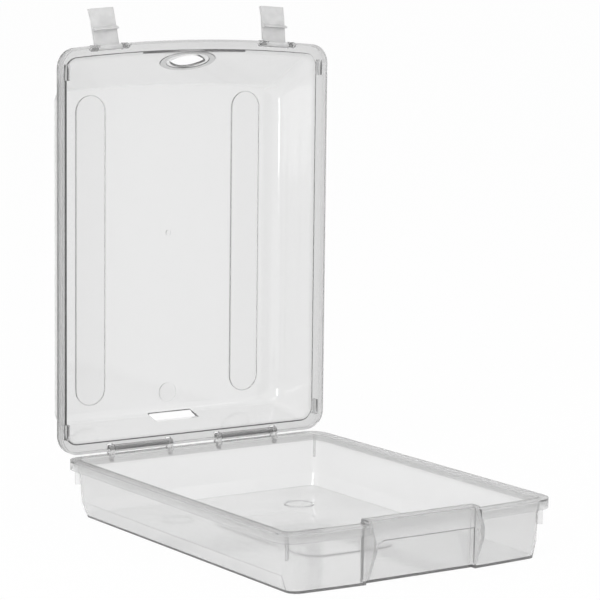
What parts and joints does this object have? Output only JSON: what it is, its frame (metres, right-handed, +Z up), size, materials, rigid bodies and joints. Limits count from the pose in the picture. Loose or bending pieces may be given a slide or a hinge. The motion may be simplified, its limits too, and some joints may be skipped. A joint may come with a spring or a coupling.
{
  "type": "art supply box",
  "caption": "Clear plastic art supply box: shallow tray with a front finger lip, deep lid on pin hinges, closed by fold-over snap latches.",
  "frame": {"origin": "centre of the tray's flat underside, where it rests on the table", "axes": "+Z up, +X to the right as seen from the front lip, +Y towards the hinges"},
  "size_m": [0.282, 0.4149, 0.4517],
  "materials": {
    "clear_plastic": "clear, smooth moulded",
    "frosted_plastic": "milky translucent moulded",
    "pin_plastic": "clear, smooth rod"
  },
  "bodies": {
    "base": {"base_tray": "clear_plastic", "hinge_pin_left": "pin_plastic", "hinge_pin_right": "pin_plastic"},
    "lid": {"lid_shell": "clear_plastic"},
    "left_latch": {"latch_left": "frosted_plastic"},
    "right_latch": {"latch_right": "frosted_plastic"}
  },
  "joints": [
    {"name": "lid_hinge", "type": "hinge", "parent": "base", "child": "lid", "pos_m": [0, 0.182, 0.055], "axis": [1, 0, 0], "range_deg": [0, 90]},
    {"name": "left_latch_pivot", "type": "hinge", "parent": "lid", "child": "left_latch", "pos_m": [-0.0885, 0.185, 0.4166], "axis": [0.998, 0, 0.0632], "range_deg": [0, 102]},
    {"name": "right_latch_pivot", "type": "hinge", "parent": "lid", "child": "right_latch", "pos_m": [0.0885, 0.185, 0.4166], "axis": [0.998, 0, -0.0632], "range_deg": [0, 102]}
  ]
}
